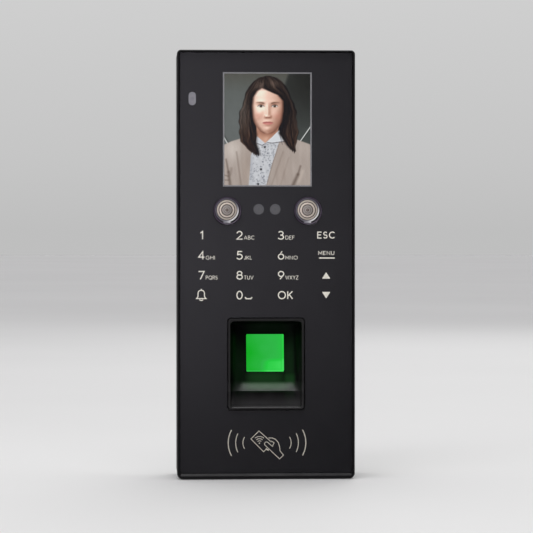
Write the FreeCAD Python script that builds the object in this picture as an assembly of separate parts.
import FreeCAD, Part
import math
import os

# Wall terminal: fingerprint reader, card reader, touch keypad, display and face cameras.
# Millimetres, +Z up. The front faces -Y and the wall is the plane y = 0.
# The origin is the middle of the wall plate's four screw holes, on the wall.

# ---- driving dimensions -------------------------------------------------------------------
BODY_W = 75.0               # outer width of both housings
BODY_H = 180.6              # outer height, centred on the origin
RIM_Y = -28.0               # front of the rim around the panel
SPLIT_Y = -11.0             # joint between the front and the rear housing
REAR_Y = -0.5               # back edge of the rear housing, just off the wall
WALL = 2.2                  # side wall of both housings
TOP_CORNER_R = 1.7
BOTTOM_CORNER_R = 2.4

PANEL_X = 36.5              # half width of the glass pocket
PANEL_Z = (-88.0, 89.5)     # bottom and top of the glass pocket
PANEL_Y = (-27.5, -26.0)    # front and back of the glass
MASK_Y = (-25.95, -25.85)   # black print carrier behind the glass
FIT = 0.05                  # gap around a piece bonded into its pocket

FRONT_WALL_Y = (-25.85, -24.35)
FLOOR_Y = (-6.2, -4.2)      # rear housing's wall; the wall plate nests behind it

DISPLAY_X = 0.6             # middle of the display
DISPLAY_Z = 57.0
DISPLAY_WINDOW = (37.5, 48.15)
DISPLAY_PICTURE = (36.3, 47.0)
DISPLAY_MODULE_X = (DISPLAY_X - 21.35, DISPLAY_X + 21.35)
DISPLAY_MODULE_Z = (29.6, 84.7)

LAMP_X = (-16.3, 17.7)      # fill lights left and right of the cameras
LAMP_Z = 22.7
LAMP_HOLE_R = 5.95
LAMP_LENS_R = 4.65
CAMERA_X = (-3.06, 3.9)     # colour camera, infrared camera
CAMERA_Z = 23.35
CAMERA_WINDOW_R = 2.25

STATUS_X = -31.05
STATUS_Z = 69.9
STATUS_WINDOW = (3.05, 5.6)
STATUS_CORNER_R = 1.45

KEY_X = (-25.35, -8.45, 8.45, 25.35)
KEY_TOP_Z = 12.4
KEY_PITCH_Z = 8.4
KEY_ROWS = 4

READER_X = 16.2             # half width of the finger recess cut-out in the panel
READER_Z = (-61.2, -22.45)
READER_GAP = 0.25           # shadow gap between the panel and the recess moulding
READER_RIM_Y = -27.85       # front of the recess moulding, just proud of the glass
RIM_BEVEL = 0.45            # bevel inside the moulding's rim
RECESS_X = 14.65            # half width of the recess itself
RECESS_TOP_Z = -24.05
RECESS_BOTTOM_Z = -60.2
RECESS_DEEP_Y = -16.5       # deepest line of the recess, under its ceiling
FLOOR_END = (-21.0, -50.2)  # y, z where the sloping platen ends
STEP_END = (-24.8, -53.4)   # y, z where the finger stop meets the lip
LIP_END_Y = -27.6
WINDOW_SIZE = 16.0          # optical window, square
WINDOW_Z = -37.45

HOUSING_SCREWS = [(x, z) for x in (-29.5, 29.5) for z in (84.0, -21.5, -84.0)]
CHASSIS_SCREWS = [(x, z) for x in (-31.5, 31.5) for z in (56.0, 23.0)]
BOARD_SCREWS = [(x, z) for x in (-22.8, 22.8) for z in (80.0, -14.5)]

CHASSIS_Y = (-22.3, -21.1)
BOARD_Y = (-17.6, -16.0)
BOARD_X = 25.5
BOARD_Z = (-18.0, 86.0)
SENSOR_BOARD_Y = (-19.2, -18.2)

PLATE_T = 1.5               # sheet steel of the wall plate
PLATE_X = 32.5
PLATE_Z = (-81.0, 84.0)
MOUNT_HOLES = [(x, z) for x in (-20.0, 20.0) for z in (-50.0, 50.0)]
MOUNT_HOLE_R = 2.25
HOOKS = [(x, z) for x in (-22.0, 22.0) for z in (60.0, -43.0)]
HOOK_W = 6.0
HOOK_RISE = 4.0             # how far a hook's finger stands above its bar
LIFT = 5.0                  # upward travel that frees the terminal from the hooks
BAY_X = 25.0                # wiring bay in the rear housing
BAY_Z = (-5.0, 35.0)
APERTURE_X = 22.0           # cable hole in the wall plate
APERTURE_Z = (-2.0, 32.0)

LOCK_Y = -5.2               # axis of the security screw under the terminal
LOCK_RECESS_X = 9.5
LOCK_RECESS_TOP = -86.1
FLANGE_Z = (-87.9, -86.4)   # foot of the wall plate, under the terminal

TAMPER_X = -14.0
TAMPER_Z = -12.0
PLUNGER_R = 1.5
RESET_X = -18.5
RESET_Z = 2.5
RESET_R = 1.5
LOOSE = 0.3                 # gap between pieces that move past each other

SPEAKER_X = -17.0
SPEAKER_Z = -73.0
SPEAKER_R = 10.0

USB_X = 17.0
USB_Y = -17.0
USB_SHELL = (13.2, 5.8)     # width and depth of the socket's shell
FLAP_X = 8.3                # half width of the flap
FLAP_Y = (-21.1, -13.4)     # free edge and hinge axis
FLAP_Z = (-90.2, -88.8)

JACK_X = 11.0
JACK_Z = 15.0
JACK_SIZE = 16.0
JACK_MOUTH_Y = -4.4

OUTER_X = BODY_W / 2
OUTER_Z = BODY_H / 2
INNER_X = OUTER_X - WALL
INNER_Z = OUTER_Z - WALL


# ---- building blocks ----------------------------------------------------------------------
def block(x, y, z):
    """A box between two x, two y and two z values."""
    corner = FreeCAD.Vector(x[0], y[0], z[0])
    return Part.makeBox(x[1] - x[0], y[1] - y[0], z[1] - z[0], corner)


def slab(cx, cz, width, height, y):
    """A box centred on cx, cz between two y values."""
    return block((cx - width / 2, cx + width / 2), y, (cz - height / 2, cz + height / 2))


def rod(cx, cz, radius, y):
    """A cylinder along Y."""
    base = FreeCAD.Vector(cx, y[0], cz)
    return Part.makeCylinder(radius, y[1] - y[0], base, FreeCAD.Vector(0, 1, 0))


def post(cx, cy, radius, z):
    """A cylinder along Z."""
    base = FreeCAD.Vector(cx, cy, z[0])
    return Part.makeCylinder(radius, z[1] - z[0], base, FreeCAD.Vector(0, 0, 1))


def tube(cx, cz, outer, inner, y):
    return rod(cx, cz, outer, y).cut(rod(cx, cz, inner, y))


def edges_along(shape, axis):
    """The straight edges of a shape that run along one axis, 0 to 2."""
    found = []
    for edge in shape.Edges:
        run = edge.Vertexes[-1].Point - edge.Vertexes[0].Point
        if run.Length > 1e-6 and abs(abs(run[axis]) / run.Length - 1) < 1e-6:
            found.append(edge)
    return found


def edges_at_y(shape, y):
    """The edges of a shape that lie wholly in one plane across Y."""
    return [e for e in shape.Edges if abs(e.BoundBox.YMin - y) < 1e-4 and e.BoundBox.YLength < 1e-4]


def rounded(x, y, z, radius):
    """A box with its four edges along Y rounded."""
    plain = block(x, y, z)
    return plain.makeFillet(radius, edges_along(plain, 1))


def extruded(profile, x):
    """A closed outline of (y, z) points, drawn out from one x to another."""
    points = [FreeCAD.Vector(x[0], y, z) for y, z in profile]
    face = Part.Face(Part.makePolygon(points + points[:1]))
    return face.extrude(FreeCAD.Vector(x[1] - x[0], 0, 0))


def turned(profile, cx, cz):
    """A closed outline of (radius, y) points, turned about an axis along Y."""
    points = [FreeCAD.Vector(cx + r, y, cz) for r, y in profile]
    face = Part.Face(Part.makePolygon(points + points[:1]))
    return face.revolve(FreeCAD.Vector(cx, 0, cz), FreeCAD.Vector(0, 1, 0), 360)


def join(first, *others):
    return first.fuse(list(others)).removeSplitter() if others else first


def cut(shape, *tools):
    return shape.cut(list(tools))


def group(solids):
    return Part.makeCompound(list(solids))


def pan_screw(cx, cz, head_y, tip_y, head, shank_r):
    """A pan-head screw along Y with a cross recess; head is (radius, height), facing +Y."""
    head_r, head_h = head
    body = join(rod(cx, cz, head_r, (head_y, head_y + head_h)), rod(cx, cz, shank_r, (tip_y, head_y)))
    top = head_y + head_h
    body = body.makeFillet(head_h * 0.45, edges_at_y(body, top))
    slot_y = (top - head_h * 0.55, top + 1)
    return cut(body, slab(cx, cz, head_r, 0.5, slot_y), slab(cx, cz, 0.5, head_r, slot_y))


def housing_block(y):
    """The outer block of a housing between two y values, with its four corners rounded."""
    plain = block((-OUTER_X, OUTER_X), y, (-OUTER_Z, OUTER_Z))
    corners = edges_along(plain, 1)
    top = [e for e in corners if e.BoundBox.ZMin > 0]
    plain = plain.makeFillet(TOP_CORNER_R, top)
    bottom = [e for e in edges_along(plain, 1) if e.BoundBox.ZMax < 2 - OUTER_Z]
    return plain.makeFillet(BOTTOM_CORNER_R, bottom)


# ---- housings -----------------------------------------------------------------------------
BOSS_R = 3.25
GROOVE_X = OUTER_X - WALL / 2
GROOVE_Z = OUTER_Z - WALL / 2
GROOVE_W = 1.1
GROOVE_DEPTH = 0.8
USB_RECESS_Z = -88.7        # ceiling of the flap's recess


def seal_ring(width, y):
    """A flat rectangular ring that follows the middle of the housing wall."""
    half = width / 2
    outer = rounded((-GROOVE_X - half, GROOVE_X + half), y, (-GROOVE_Z - half, GROOVE_Z + half), 1.2)
    inner = rounded((-GROOVE_X + half, GROOVE_X - half), y, (-GROOVE_Z + half, GROOVE_Z - half), 0.6)
    return outer.cut(inner)


def front_wall_windows():
    """Openings in the front wall for everything that sits behind the glass."""
    y = (FRONT_WALL_Y[0] - 1, FRONT_WALL_Y[1] + 1)
    touch = block((-31.8, 31.8), y, (-18.1, 16.7))
    sensors = block((-24.8, 26.3), y, (15.9, 29.6))
    display_x = (DISPLAY_MODULE_X[0] - LOOSE, DISPLAY_MODULE_X[1] + LOOSE)
    display = block(display_x, y, (28.9, DISPLAY_MODULE_Z[1] + LOOSE))
    status = slab(STATUS_X, STATUS_Z, STATUS_WINDOW[0] + 0.2, STATUS_WINDOW[1] + 0.2, y)
    reader = block((-READER_X, READER_X), y, READER_Z)
    return [touch, sensors, display, status, reader]


def usb_flap_seat():
    """Recess for the USB flap, the socket's mouth, the trunnion holes and a fingernail notch."""
    side = FLAP_X + 0.35
    x = (USB_X - side, USB_X + side)
    recess = block(x, (FLAP_Y[0] - 0.3, FLAP_Y[1] + 1.2), (-OUTER_Z - 1, USB_RECESS_Z))
    mouth_w, mouth_d = USB_SHELL[0] + 0.4, USB_SHELL[1] + 0.4
    mouth = block((USB_X - mouth_w / 2, USB_X + mouth_w / 2), (USB_Y - mouth_d / 2, USB_Y + mouth_d / 2),
                  (-OUTER_Z - 1, -INNER_Z + 1))
    axis = FreeCAD.Vector(x[0] - 1.0, FLAP_Y[1], sum(FLAP_Z) / 2)
    sockets = Part.makeCylinder(0.56, x[1] - x[0] + 2.0, axis, FreeCAD.Vector(1, 0, 0))
    notch = post(USB_X, FLAP_Y[0] - 0.3, 2.2, (-OUTER_Z - 1, -OUTER_Z + 0.9))
    return [recess, mouth, sockets, notch]


def front_housing():
    shell = housing_block((RIM_Y, SPLIT_Y))
    shell = shell.makeFillet(0.5, edges_at_y(shell, RIM_Y))
    glass_pocket = rounded((-PANEL_X, PANEL_X), (RIM_Y - 1, FRONT_WALL_Y[0]), PANEL_Z, 0.8)
    cavity = rounded((-INNER_X, INNER_X), (FRONT_WALL_Y[1], SPLIT_Y + 1), (-INNER_Z, INNER_Z), 1.0)
    slope = extruded([(RIM_Y - 0.05, PANEL_Z[0] - 1.1), (RIM_Y - 0.05, PANEL_Z[0] + 0.1),
                      (PANEL_Y[0] + 0.1, PANEL_Z[0] + 0.1), (PANEL_Y[0] + 0.1, PANEL_Z[0])],
                     (-PANEL_X + 0.5, PANEL_X - 0.5))
    shell = cut(shell, glass_pocket, cavity, slope, *front_wall_windows())
    bosses = [rod(x, z, BOSS_R, (FRONT_WALL_Y[1] - 0.5, FLOOR_Y[0] - 0.05)) for x, z in HOUSING_SCREWS]
    pads = [rod(x, z, 2.6, (FRONT_WALL_Y[1] - 0.5, CHASSIS_Y[0])) for x, z in CHASSIS_SCREWS]
    shell = join(shell, *bosses, *pads)
    bores = [rod(x, z, 1.3, (-20.0, SPLIT_Y + 6)) for x, z in HOUSING_SCREWS]
    pilot = [rod(x, z, 1.05, (-25.0, CHASSIS_Y[0] + 1)) for x, z in CHASSIS_SCREWS]
    groove = seal_ring(GROOVE_W, (SPLIT_Y - GROOVE_DEPTH, SPLIT_Y + 1))
    return cut(shell, *bores, *pilot, groove, *usb_flap_seat())


def rear_housing():
    shell = housing_block((SPLIT_Y, REAR_Y))
    shell = shell.makeFillet(0.8, edges_at_y(shell, REAR_Y))
    inner_x, inner_z = (-INNER_X, INNER_X), (-INNER_Z, INNER_Z)
    front_space = rounded(inner_x, (SPLIT_Y - 1, FLOOR_Y[0]), inner_z, 1.0)
    plate_pocket = rounded(inner_x, (FLOOR_Y[1], 1.0), inner_z, 1.0)
    shell = cut(shell, front_space, plate_pocket)
    # lock recess: a box let into the bottom wall, and the boss that takes the security screw
    lock_box = block((-LOCK_RECESS_X - 1.5, LOCK_RECESS_X + 1.5), (SPLIT_Y, FLOOR_Y[1]),
                     (-OUTER_Z + 1, LOCK_RECESS_TOP + 1.5))
    lock_boss = post(0, LOCK_Y, 3.0, (LOCK_RECESS_TOP, -78.0))
    speaker_rib = tube(SPEAKER_X, SPEAKER_Z, SPEAKER_R + 1.4, SPEAKER_R + 0.2, (-10.2, FLOOR_Y[0] + 0.5))
    shell = join(shell, lock_box, lock_boss, speaker_rib)
    lock_recess = block((-LOCK_RECESS_X, LOCK_RECESS_X), (SPLIT_Y + 1.5, 1.0),
                        (-OUTER_Z - 1, LOCK_RECESS_TOP))
    lock_bore = post(0, LOCK_Y, 1.5, (LOCK_RECESS_TOP - 1, -78.6))
    through = (FLOOR_Y[0] - 1, FLOOR_Y[1] + 1)
    bay = rounded((-BAY_X, BAY_X), through, BAY_Z, 2.0)
    slots = [block((x - HOOK_W / 2 - 0.75, x + HOOK_W / 2 + 0.75), through,
                   (z - LIFT - 0.4, z + PLATE_T + 0.15)) for x, z in HOOKS]
    screw_holes = [rod(x, z, 1.4, through) for x, z in HOUSING_SCREWS]
    tamper_hole = rod(TAMPER_X, TAMPER_Z, PLUNGER_R + LOOSE, through)
    return cut(shell, lock_recess, lock_bore, bay, *slots, *screw_holes, tamper_hole, *speaker_grille())


def speaker_grille():
    """Sound holes through the rear wall: a centre hole and two rings."""
    through = (FLOOR_Y[0] - 1, FLOOR_Y[1] + 1)
    holes = [rod(SPEAKER_X, SPEAKER_Z, 0.9, through)]
    for ring_r, count in ((3.2, 6), (6.4, 12)):
        for i in range(count):
            a = 2 * math.pi * i / count
            x, z = SPEAKER_X + ring_r * math.cos(a), SPEAKER_Z + ring_r * math.sin(a)
            holes.append(rod(x, z, 0.9, through))
    return holes


def housing_gasket():
    return seal_ring(0.9, (SPLIT_Y - GROOVE_DEPTH + 0.1, SPLIT_Y - 0.02))


def housing_screws():
    return group(pan_screw(x, z, FLOOR_Y[1], -16.0, (2.4, 1.5), 1.2) for x, z in HOUSING_SCREWS)


# ---- wall plate and lock ------------------------------------------------------------------
def hook(x, z):
    """A lug bent forward out of the plate, with a finger that points up."""
    inner_y = FLOOR_Y[0] - 0.5
    wide = (x - HOOK_W / 2, x + HOOK_W / 2)
    bar = block(wide, (inner_y - PLATE_T, -PLATE_T + 0.2), (z, z + PLATE_T))
    finger = block(wide, (inner_y - PLATE_T, inner_y), (z, z + PLATE_T + HOOK_RISE))
    return join(bar, finger)


def wall_plate():
    sheet = rounded((-PLATE_X, PLATE_X), (-PLATE_T, 0), PLATE_Z, 4.0)
    tongue = block((-8, 8), (-PLATE_T, 0), (FLANGE_Z[0], PLATE_Z[0] + 2))
    flange = block((-8, 8), (-9.2, 0), FLANGE_Z)
    flange = flange.makeFillet(2.0, [e for e in edges_along(flange, 2) if e.BoundBox.YMax < -9])
    plate = join(sheet, tongue, flange, *[hook(x, z) for x, z in HOOKS])
    through = (-PLATE_T - 1, 1)
    aperture = rounded((-APERTURE_X, APERTURE_X), through, APERTURE_Z, 3.0)
    holes = [rod(x, z, MOUNT_HOLE_R, through) for x, z in MOUNT_HOLES]
    half = PLUNGER_R + 0.7
    tamper_slot = rounded((TAMPER_X - half, TAMPER_X + half), through,
                          (TAMPER_Z - half, TAMPER_Z + LIFT + half), half - 0.05)
    lightening = [rounded((-9, 9), through, z, 4.0) for z in ((48, 74), (-68, -40))]
    lock_hole = post(0, LOCK_Y, 1.7, (FLANGE_Z[0] - 1, FLANGE_Z[1] + 1))
    return cut(plate, aperture, *holes, tamper_slot, *lightening, lock_hole)


def security_screw():
    """Socket-head screw that stands under the flange and screws up into the rear housing."""
    head_z = (FLANGE_Z[0] - 2.05, FLANGE_Z[0] - 0.05)
    body = join(post(0, LOCK_Y, 2.8, head_z), post(0, LOCK_Y, 1.45, (head_z[1], -79.2)))
    drive = post(0, LOCK_Y, 1.3, (head_z[0] - 1, head_z[0] + 1.2))
    centre_pin = post(0, LOCK_Y, 0.4, (head_z[0], head_z[0] + 1.2))
    return join(cut(body, drive), centre_pin)


# ---- panel --------------------------------------------------------------------------------
def panel_holes(y):
    """Holes that go through glass and mask alike: two fill lights and the finger recess."""
    lamps = [rod(x, LAMP_Z, LAMP_HOLE_R, y) for x in LAMP_X]
    return lamps + [rounded((-READER_X, READER_X), y, READER_Z, 1.5)]


def front_panel():
    z = (PANEL_Z[0] + FIT, PANEL_Z[1] - FIT)
    sheet = rounded((-PANEL_X + FIT, PANEL_X - FIT), PANEL_Y, z, 0.75)
    sheet = cut(sheet, *panel_holes((PANEL_Y[0] - 1, PANEL_Y[1] + 1)))
    return sheet.makeChamfer(0.25, edges_at_y(sheet, PANEL_Y[0]))


def panel_mask():
    z = (PANEL_Z[0] + FIT, PANEL_Z[1] - FIT)
    through = (MASK_Y[0] - 1, MASK_Y[1] + 1)
    film = rounded((-PANEL_X + FIT, PANEL_X - FIT), MASK_Y, z, 0.75)
    picture = slab(DISPLAY_X, DISPLAY_Z, *DISPLAY_WINDOW, through)
    width, height = STATUS_WINDOW
    status = rounded((STATUS_X - width / 2, STATUS_X + width / 2), through,
                     (STATUS_Z - height / 2, STATUS_Z + height / 2), STATUS_CORNER_R)
    cameras = [rod(x, CAMERA_Z, CAMERA_WINDOW_R, through) for x in CAMERA_X]
    return cut(film, *panel_holes(through), picture, status, *cameras)


# ---- display ------------------------------------------------------------------------------
def display_bezel():
    y = (-25.84, -25.70)
    outer = slab(DISPLAY_X, DISPLAY_Z, DISPLAY_WINDOW[0] + 1.0, DISPLAY_WINDOW[1] + 1.0, y)
    return outer.cut(slab(DISPLAY_X, DISPLAY_Z, *DISPLAY_PICTURE, (y[0] - 1, y[1] + 1)))


def display_panel():
    return block(DISPLAY_MODULE_X, (-25.68, -24.2), DISPLAY_MODULE_Z)


def display_backlight():
    x = (DISPLAY_MODULE_X[0] + 0.5, DISPLAY_MODULE_X[1] - 0.5)
    tray = block(x, (-24.2, -22.35), (33.0, DISPLAY_MODULE_Z[1] - 0.4))
    return tray.makeFillet(0.6, edges_along(tray, 1))


def display_flex_cable():
    """Flat cable from the display's lower edge, back through the chassis and up to the board."""
    wide = (DISPLAY_X - 7, DISPLAY_X + 7)
    under = block(wide, (-24.15, -19.2), (30.1, 30.4))
    riser = block(wide, (-18.5, -18.2), (31.1, 37.0))
    centre = FreeCAD.Vector(wide[0], -19.2, 31.1)
    along_x = FreeCAD.Vector(1, 0, 0)
    bend = Part.makeCylinder(1.0, wide[1] - wide[0], centre, along_x)
    bend = bend.cut(Part.makeCylinder(0.7, wide[1] - wide[0], centre, along_x))
    bend = bend.common(block(wide, (-19.2, -18.0), (30.0, 31.1)))
    return join(under, bend, riser)


# ---- touch keys and status light ----------------------------------------------------------
TOUCH_BOARD_Y = (-25.75, -24.75)


def touch_key_board():
    """Board behind the keypad; its electrodes sense a finger through the glass."""
    return block((-31.5, 31.5), TOUCH_BOARD_Y, (-17.8, 16.0))


def touch_electrodes():
    """One round copper pad behind each of the sixteen touch keys."""
    y = (TOUCH_BOARD_Y[0] - 0.08, TOUCH_BOARD_Y[0])
    rows = [KEY_TOP_Z - KEY_PITCH_Z * i for i in range(KEY_ROWS)]
    return group(tube(x, z, 3.6, 1.0, y) for z in rows for x in KEY_X)


def status_light_pipe():
    """Light guide with a small flange, from the LED to the window in the mask."""
    width, height = STATUS_WINDOW[0] - 0.1, STATUS_WINDOW[1] - 0.1
    stem = rounded((STATUS_X - width / 2, STATUS_X + width / 2), (-25.8, -20.2),
                   (STATUS_Z - height / 2, STATUS_Z + height / 2), STATUS_CORNER_R - 0.1)
    collar = slab(STATUS_X, STATUS_Z, width + 1.4, height + 1.4, (-24.3, -23.4))
    return join(stem, collar)


def status_board():
    return block((-34.0, -27.6), (-19.0, -18.0), (64.0, 76.0))


def status_led():
    base = slab(STATUS_X, STATUS_Z, 1.6, 3.2, (-19.6, -19.0))
    dome = slab(STATUS_X, STATUS_Z, 1.3, 2.0, (-20.0, -19.6))
    return join(base, dome)


# ---- inner chassis and boards -------------------------------------------------------------
PROCESSOR = (-6.0, 58.0)
CELL = (12.0, 66.0)
CELL_R = 6.25
RELAY = (-16.0, 73.0)
CHIP_BACK_Y = -14.6         # top of the flat packages on the rear of the main board
SHIELD_Y = -19.9            # front of the can over the processor
CHASSIS_X = 34.8


def inner_chassis():
    """Moulded plate behind the display; the boards screw onto its standoffs."""
    plate = block((-CHASSIS_X, CHASSIS_X), CHASSIS_Y, (-17.5, 87.5))
    through = (CHASSIS_Y[0] - 1, CHASSIS_Y[1] + 1)
    notches = [rod(x, z, BOSS_R + 0.4, through) for x, z in HOUSING_SCREWS]
    corners = [block((CHASSIS_X * s - 6, CHASSIS_X * s + 6), through, (84, 90)) for s in (-1, 1)]
    lamps = [rod(x, LAMP_Z, 6.9, through) for x in LAMP_X]
    cameras = block((-7.6, 8.4), through, (18.4, 28.2))
    flex = block((DISPLAY_X - 8, DISPLAY_X + 8), through, (29.4, 31.6))
    pipe = slab(STATUS_X, STATUS_Z, 4.0, 6.6, through)
    plate = cut(plate, *notches, *corners, *lamps, cameras, flex, pipe)
    standoffs = [rod(x, z, 2.3, (CHASSIS_Y[0], BOARD_Y[0])) for x, z in BOARD_SCREWS]
    pegs = [rod(STATUS_X, STATUS_Z + s * 4.6, 1.0, (CHASSIS_Y[0], -19.0)) for s in (-1, 1)]
    plate = join(plate, *standoffs, *pegs)
    pilot = [rod(x, z, 1.05, (CHASSIS_Y[0] + 0.2, BOARD_Y[1])) for x, z in BOARD_SCREWS]
    clear = [rod(x, z, 1.2, through) for x, z in CHASSIS_SCREWS]
    return cut(plate, *pilot, *clear)


def small_screws():
    """The M2 screws: four hold the chassis to the front housing, four the board to the chassis."""
    chassis = [pan_screw(x, z, CHASSIS_Y[1], -24.8, (1.9, 1.2), 1.0) for x, z in CHASSIS_SCREWS]
    board = [pan_screw(x, z, BOARD_Y[1], -21.4, (1.9, 1.2), 1.0) for x, z in BOARD_SCREWS]
    return group(chassis + board)


def main_board():
    board = rounded((-BOARD_X, BOARD_X), BOARD_Y, BOARD_Z, 1.5)
    return cut(board, *[rod(x, z, 1.2, (-19, -15)) for x, z in BOARD_SCREWS])


def processor_shield():
    """Pressed can over the processor, with a row of vents."""
    cx, cz = PROCESSOR
    can = slab(cx, cz, 26, 22, (SHIELD_Y, BOARD_Y[0]))
    can = can.makeFillet(0.5, edges_at_y(can, SHIELD_Y))
    hollow = slab(cx, cz, 25.2, 21.2, (SHIELD_Y + 0.4, BOARD_Y[0] + 1))
    vents = [rod(cx - 8 + 4 * i, cz + 8, 0.6, (SHIELD_Y - 1, SHIELD_Y + 1)) for i in range(5)]
    return cut(can, hollow, *vents)


def board_chips():
    """Packages and flat-cable connectors soldered to the boards."""
    rear = BOARD_Y[1]
    front = BOARD_Y[0]
    touch = TOUCH_BOARD_Y[1]
    chips = [slab(*PROCESSOR, 14, 14, (-18.9, front)),           # processor
             slab(16, 60, 8, 11, (-18.8, front)),                # memory
             slab(16, 46, 8, 11, (-18.8, front)),                # storage
             slab(DISPLAY_X, 35.5, 16, 4, (-18.2, front)),       # display cable connector
             slab(-12, 62, 6, 5, (rear, CHIP_BACK_Y)),           # network controller
             slab(-14, 48, 5, 5, (rear, CHIP_BACK_Y)),           # power converter
             slab(0, -12, 9, 9, (rear, CHIP_BACK_Y)),            # fingerprint processor
             slab(0, -8, 6, 6, (touch, -23.6)),                  # touch controller
             slab(-18, 6, 12, 3.5, (touch, -23.2))]              # touch cable connector
    return group(chips)


def network_transformer():
    return slab(15, 42, 16, 7.5, (BOARD_Y[1], -10.4))


def lock_relay():
    top = BOARD_Y[1] + 8.6
    case = slab(*RELAY, 15, 10, (BOARD_Y[1], top))
    return case.makeFillet(0.5, edges_at_y(case, top) + edges_along(case, 1))


def coin_cell_holder():
    """Clip with a round seat, open on one side so that the cell can be pushed out."""
    cx, cz = CELL
    base = slab(cx, cz, 16, 15, (BOARD_Y[1], -12.4))
    seat_y = (-15.2, -11)
    return cut(base, rod(cx, cz, CELL_R + 0.15, seat_y), slab(cx + 8, cz, 8, 7, seat_y))


def coin_cell():
    y = (-15.1, -12.9)
    cell = rod(*CELL, CELL_R, y)
    return cell.makeChamfer(0.3, edges_at_y(cell, y[1]))


def capacitors():
    """Three electrolytic cans on the rear of the board."""
    cans = []
    for x, z in ((2, 47), (2, 56), (-5, 47)):
        top = BOARD_Y[1] + 7.4
        can = rod(x, z, 3.15, (BOARD_Y[1], top))
        cans.append(can.makeFillet(0.5, edges_at_y(can, top)))
    return group(cans)


def network_jack():
    """Upright network socket: its mouth faces the wall."""
    half = JACK_SIZE / 2
    body = slab(JACK_X, JACK_Z, JACK_SIZE, JACK_SIZE, (BOARD_Y[1], JACK_MOUTH_Y))
    deep = (-14.4, JACK_MOUTH_Y + 1)
    mouth = slab(JACK_X, JACK_Z, 11.9, 7.6, deep)
    latch = block((JACK_X - 3.2, JACK_X + 3.2), deep, (JACK_Z - half + 1.4, JACK_Z))
    tab = block((JACK_X - 1.8, JACK_X + 1.8), deep, (JACK_Z - half + 0.9, JACK_Z))
    return cut(body, mouth, latch, tab)


HEADERS = ((-12.5, 28.0, 10), (-14.0, 19.5, 8), (-15.5, 11.0, 6))    # x, z, pins
PIN_PITCH = 2.0


def wiring_headers():
    """Open-topped white shells for the power, lock, sensor and bus leads."""
    shells = []
    for x, z, pins in HEADERS:
        width = PIN_PITCH * pins + 2.0
        shell = slab(x, z, width, 5.6, (BOARD_Y[1], -9.6))
        inside = slab(x, z, width - 1.2, 4.4, (-14.6, -8))
        keyways = [slab(x + s * PIN_PITCH, z - 2.4, 1.0, 2.0, (-13.0, -8)) for s in (-1, 1)]
        shells.append(cut(shell, inside, *keyways))
    return group(shells)


def header_pins():
    pins = []
    for x, z, count in HEADERS:
        first = x - PIN_PITCH * (count - 1) / 2
        pins += [slab(first + PIN_PITCH * i, z, 0.5, 0.5, (-14.6, -10.6)) for i in range(count)]
    return group(pins)


# ---- switches -----------------------------------------------------------------------------
def switch_case(x, z, side, top_y, bore_r):
    """A square switch body on the main board with a bored well for its actuator."""
    case = slab(x, z, side, side, (BOARD_Y[1], top_y))
    case = case.makeFillet(0.4, edges_along(case, 1))
    return cut(case, rod(x, z, bore_r, (BOARD_Y[1] + 0.6, top_y + 1)))


def tamper_switch():
    return switch_case(TAMPER_X, TAMPER_Z, 6.0, -12.0, PLUNGER_R + LOOSE)


def tamper_plunger():
    """Pin that the wall holds in; its collar stops it inside the rear housing."""
    pin = rod(TAMPER_X, TAMPER_Z, PLUNGER_R, (-13.5, 0))
    pin = pin.makeFillet(0.5, edges_at_y(pin, 0))
    return join(pin, rod(TAMPER_X, TAMPER_Z, 2.4, (-9.2, -8.1)))


def reset_switch():
    return switch_case(RESET_X, RESET_Z, 6.0, -12.4, RESET_R + LOOSE)


def reset_button():
    button = rod(RESET_X, RESET_Z, RESET_R, (-14.6, -10.8))
    return button.makeFillet(0.3, edges_at_y(button, -10.8))


# ---- lamps and cameras --------------------------------------------------------------------
def fill_light_lens(x):
    """Round lens: flat face with a ring groove, a flange behind the glass and a tapered stem."""
    face_y = -27.3
    profile = [(0, face_y), (LAMP_LENS_R - 0.3, face_y), (LAMP_LENS_R, face_y + 0.3),
               (LAMP_LENS_R, -25.6), (5.5, -25.6), (5.5, -24.8), (4.2, -24.8), (3.0, -20.6), (0, -20.6)]
    lens = turned(profile, x, LAMP_Z)
    key = block((x - 1.5, x + 1.5), (face_y + 0.2, -25.6), (LAMP_Z - 5.3, LAMP_Z - LAMP_LENS_R + 0.4))
    ring = tube(x, LAMP_Z, 3.25, 2.95, (face_y - 1, face_y + 0.25))
    well = rod(x, LAMP_Z, 1.9, (-21.6, -20))
    return cut(join(lens, key), ring, well)


def fill_light_holder(x):
    cup = tube(x, LAMP_Z, 6.6, 5.6, (-25.8, SENSOR_BOARD_Y[0]))
    seat = tube(x, LAMP_Z, 5.7, 4.5, (-24.7, -24.0))
    return join(cup, seat)


def fill_light_leds():
    leds = []
    for x in LAMP_X:
        leds.append(join(slab(x, LAMP_Z, 3.0, 3.0, (-19.8, SENSOR_BOARD_Y[0])),
                         rod(x, LAMP_Z, 1.2, (-20.2, -19.7))))
    return group(leds)


def sensor_board():
    """Small board that carries the two lamps and the two cameras."""
    return block((-24.5, 26.0), SENSOR_BOARD_Y, (16.1, 29.3))


def camera_holder():
    block_x = (sum(CAMERA_X) / 2 - 7.4, sum(CAMERA_X) / 2 + 7.4)
    holder = block(block_x, (-22.6, SENSOR_BOARD_Y[0]), (18.8, 27.9))
    bores = [rod(x, CAMERA_Z, 2.8, (-24, -18)) for x in CAMERA_X]
    return cut(holder, *bores)


def camera_barrel(x):
    """Threaded barrel with a stepped mouth for its front lens."""
    barrel = join(rod(x, CAMERA_Z, 2.7, (-23.4, -19.3)), rod(x, CAMERA_Z, 3.1, (-25.6, -23.4)))
    return cut(barrel, rod(x, CAMERA_Z, 1.7, (-27, -20.4)), rod(x, CAMERA_Z, 2.2, (-27, -25.0)))


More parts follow.
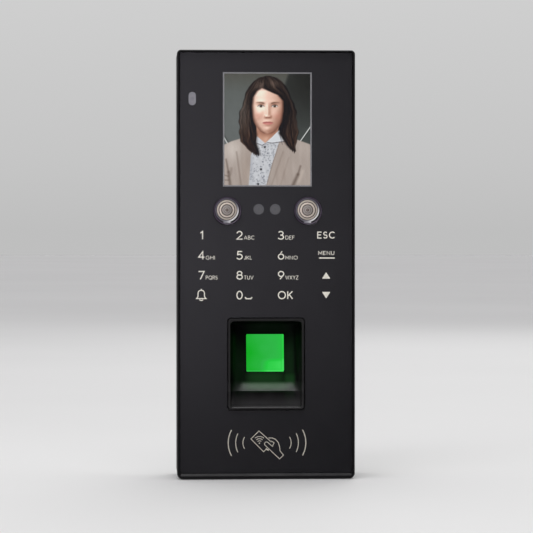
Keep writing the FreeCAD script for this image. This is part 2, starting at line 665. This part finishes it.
def camera_lens(x):
    """Front element: flat behind, domed in front."""
    y = (-25.2, -24.0)
    glass = rod(x, CAMERA_Z, 1.6, y)
    return glass.makeFillet(0.5, edges_at_y(glass, y[0]))


# ---- fingerprint reader -------------------------------------------------------------------
SLOPE = math.atan2(RECESS_DEEP_Y - FLOOR_END[0], RECESS_TOP_Z - FLOOR_END[1])
WINDOW_Y = RECESS_DEEP_Y - (RECESS_TOP_Z - WINDOW_Z) * math.tan(SLOPE)


def on_platen(shape):
    """Moves a shape drawn about the origin, front facing -Y, onto the middle of the platen."""
    placed = shape.copy()
    origin = FreeCAD.Vector(0, 0, 0)
    placed.rotate(origin, FreeCAD.Vector(1, 0, 0), -math.degrees(SLOPE))
    placed.translate(FreeCAD.Vector(0, WINDOW_Y, WINDOW_Z))
    return placed


def recess_air():
    """The space a finger uses: sloping platen, concave finger stop and lip, with soft corners."""
    profile = [(RIM_Y - 1, RECESS_TOP_Z), (RECESS_DEEP_Y, RECESS_TOP_Z), FLOOR_END, STEP_END,
               (LIP_END_Y, RECESS_BOTTOM_Z), (RIM_Y - 1, RECESS_BOTTOM_Z)]
    air = extruded(profile, (-RECESS_X, RECESS_X))
    across = edges_along(air, 0)
    stop = [e for e in across if abs(e.BoundBox.ZMin - FLOOR_END[1]) < 1e-3]
    air = air.makeFillet(4.0, stop)
    shoulder = [e for e in edges_along(air, 0) if abs(e.BoundBox.ZMin - STEP_END[1]) < 1e-3]
    air = air.makeFillet(2.5, shoulder)
    back = [e for e in air.Edges if e.BoundBox.XLength < 1e-3 and e.BoundBox.YMin > RIM_Y - 0.5]
    return air.makeFillet(1.6, back)


def fingerprint_bezel():
    half, low, high = READER_X - READER_GAP, READER_Z[0] + READER_GAP, READER_Z[1] - READER_GAP
    outer = rounded((-half, half), (READER_RIM_Y, -14.6), (low, high), 1.3)
    outer = outer.makeFillet(0.2, edges_at_y(outer, READER_RIM_Y))
    behind = extruded([(-14.0, -22.0), (-14.8, -22.0), (-19.4, -51.5), (-22.6, -55.5), (-22.6, -62.0),
                       (-14.0, -62.0)], (-20, 20))
    flange = block((-18.6, 18.6), (-24.3, -23.2), (-63.6, -19.9))
    body = join(cut(outer, behind), flange)
    mouth = rounded((-RECESS_X - RIM_BEVEL, RECESS_X + RIM_BEVEL), (RIM_Y - 1, READER_RIM_Y + RIM_BEVEL),
                    (RECESS_BOTTOM_Z - RIM_BEVEL, RECESS_TOP_Z + RIM_BEVEL), 0.8)
    mouth = mouth.makeChamfer(RIM_BEVEL - 0.01, edges_at_y(mouth, READER_RIM_Y + RIM_BEVEL))
    aperture = on_platen(block((-WINDOW_SIZE / 2, WINDOW_SIZE / 2), (-3, 6),
                               (-WINDOW_SIZE / 2, WINDOW_SIZE / 2)))
    return cut(body, mouth, recess_air(), aperture)


def fingerprint_window():
    half = WINDOW_SIZE / 2 - 0.04
    glass = block((-half, half), (0.15, 1.7), (-half, half))
    glass = glass.makeFillet(0.5, edges_along(glass, 1))
    return on_platen(glass)


def fingerprint_module_housing():
    case = block((-11.5, 11.5), (2.3, 9.2), (-11.5, 11.5))
    hollow = block((-10.3, 10.3), (1.0, 8.2), (-10.3, 10.3))
    return on_platen(cut(case, hollow))


def fingerprint_prism():
    """Glass wedge behind the window; its slanted back throws the image up to the sensor."""
    profile = [(1.75, -7.6), (1.75, 7.6), (6.4, 7.6), (3.0, -7.6)]
    return on_platen(extruded(profile, (-7.6, 7.6)))


def fingerprint_leds():
    """Eight green LEDs in two columns beside the prism."""
    leds = [slab(s * 9.2, -6.6 + 4.4 * i, 1.2, 2.0, (6.6, 8.2)) for s in (-1, 1) for i in range(4)]
    return on_platen(group(leds))


def fingerprint_board():
    return on_platen(block((-11.0, 11.0), (9.25, 10.15), (-11.0, 11.0)))


# ---- card reader, speaker and USB ---------------------------------------------------------
def card_reader_board():
    return block((-25.5, 25.5), (-23.9, -22.9), (-86.8, -65.0))


def card_reader_coil():
    """Five nested copper turns printed on the front of the card reader board."""
    turns = []
    for i in range(5):
        inset = 1.0 + 1.6 * i
        x, z = 25.5 - inset, (-86.8 + inset, -65.0 - inset)
        outer = rounded((-x, x), (-24.0, -23.9), z, 1.6)
        inner = rounded((-x + 0.8, x - 0.8), (-24.1, -23.8), (z[0] + 0.8, z[1] - 0.8), 0.9)
        turns.append(outer.cut(inner))
    return group(turns)


def speaker_frame():
    rim = tube(SPEAKER_X, SPEAKER_Z, SPEAKER_R, 9.0, (-10.5, FLOOR_Y[0] - 0.1))
    back = tube(SPEAKER_X, SPEAKER_Z, 9.5, 5.2, (-10.5, -9.7))
    return join(rim, back)


def speaker_cone():
    """Thin cone with a domed centre, facing the grille in the rear wall."""
    profile = [(8.8, -7.0), (8.8, -6.7), (7.6, -6.6), (3.4, -8.3), (0, -7.5),
               (0, -7.8), (3.4, -8.6), (7.6, -6.9)]
    return turned(profile, SPEAKER_X, SPEAKER_Z)


def speaker_magnet():
    y = (-12.7, -9.8)
    magnet = rod(SPEAKER_X, SPEAKER_Z, SPEAKER_R / 2, y)
    return magnet.makeChamfer(0.4, edges_at_y(magnet, y[0]))


def usb_socket():
    """Shell with an open lower end, and the contact tongue inside it."""
    x, depth = (USB_X - USB_SHELL[0] / 2, USB_X + USB_SHELL[0] / 2), USB_SHELL[1] / 2
    shell = block(x, (USB_Y - depth, USB_Y + depth), (-INNER_Z + 0.05, -74.0))
    hollow = block((x[0] + 0.4, x[1] - 0.4), (USB_Y - depth + 0.4, USB_Y + depth - 0.4), (-90, -75.0))
    tongue = block((USB_X - 5.5, USB_X + 5.5), (USB_Y + 0.3, USB_Y + 2.1), (-86.6, -75.0))
    return group([cut(shell, hollow), tongue])


def usb_board():
    y = USB_Y + USB_SHELL[1] / 2 + 0.05
    return block((USB_X - 8.5, USB_X + 8.5), (y, y + 1.0), (-80.0, -66.0))


def usb_flap():
    """Hinged door with trunnions in the bottom wall and a rib that plugs the socket's mouth."""
    axis_y, axis_z = FLAP_Y[1], sum(FLAP_Z) / 2
    x = (USB_X - FLAP_X, USB_X + FLAP_X)
    leaf = block(x, (FLAP_Y[0], axis_y), FLAP_Z)
    along_x = FreeCAD.Vector(1, 0, 0)
    barrel = Part.makeCylinder(0.7, 2 * FLAP_X, FreeCAD.Vector(x[0], axis_y, axis_z), along_x)
    trunnion = Part.makeCylinder(0.5, 2 * FLAP_X + 2.2, FreeCAD.Vector(x[0] - 1.1, axis_y, axis_z), along_x)
    rib = block((USB_X - 5.6, USB_X + 5.6), (-18.9, -15.1), (FLAP_Z[1] - 0.1, -87.6))
    return join(leaf, barrel, trunnion, rib)


# ---- write every piece --------------------------------------------------------------------
LEFT, RIGHT = 0, 1
PIECES = {
    "wall_plate": wall_plate(),
    "security_screw": security_screw(),
    "front_housing": front_housing(),
    "rear_housing": rear_housing(),
    "housing_gasket": housing_gasket(),
    "housing_screws": housing_screws(),
    "small_screws": small_screws(),
    "front_panel": front_panel(),
    "panel_mask": panel_mask(),
    "display_bezel": display_bezel(),
    "display_panel": display_panel(),
    "display_backlight": display_backlight(),
    "display_flex_cable": display_flex_cable(),
    "touch_key_board": touch_key_board(),
    "touch_electrodes": touch_electrodes(),
    "status_light_pipe": status_light_pipe(),
    "status_board": status_board(),
    "status_led": status_led(),
    "inner_chassis": inner_chassis(),
    "main_board": main_board(),
    "processor_shield": processor_shield(),
    "board_chips": board_chips(),
    "network_transformer": network_transformer(),
    "lock_relay": lock_relay(),
    "coin_cell_holder": coin_cell_holder(),
    "coin_cell": coin_cell(),
    "capacitors": capacitors(),
    "network_jack": network_jack(),
    "wiring_headers": wiring_headers(),
    "header_pins": header_pins(),
    "tamper_switch": tamper_switch(),
    "tamper_plunger": tamper_plunger(),
    "reset_switch": reset_switch(),
    "reset_button": reset_button(),
    "sensor_board": sensor_board(),
    "fill_light_lens_left": fill_light_lens(LAMP_X[LEFT]),
    "fill_light_lens_right": fill_light_lens(LAMP_X[RIGHT]),
    "fill_light_holder_left": fill_light_holder(LAMP_X[LEFT]),
    "fill_light_holder_right": fill_light_holder(LAMP_X[RIGHT]),
    "fill_light_leds": fill_light_leds(),
    "camera_holder": camera_holder(),
    "colour_camera_barrel": camera_barrel(CAMERA_X[LEFT]),
    "colour_camera_lens": camera_lens(CAMERA_X[LEFT]),
    "infrared_camera_barrel": camera_barrel(CAMERA_X[RIGHT]),
    "infrared_camera_lens": camera_lens(CAMERA_X[RIGHT]),
    "fingerprint_bezel": fingerprint_bezel(),
    "fingerprint_window": fingerprint_window(),
    "fingerprint_module_housing": fingerprint_module_housing(),
    "fingerprint_prism": fingerprint_prism(),
    "fingerprint_leds": fingerprint_leds(),
    "fingerprint_board": fingerprint_board(),
    "card_reader_board": card_reader_board(),
    "card_reader_coil": card_reader_coil(),
    "speaker_frame": speaker_frame(),
    "speaker_cone": speaker_cone(),
    "speaker_magnet": speaker_magnet(),
    "usb_socket": usb_socket(),
    "usb_board": usb_board(),
    "usb_flap": usb_flap(),
}

os.makedirs("parts", exist_ok=True)
for name, shape in PIECES.items():
    shape.exportStep("parts/" + name + ".step")
    print(name, "solids", len(shape.Solids), "valid", shape.isValid(), "mm3", round(shape.Volume, 1))
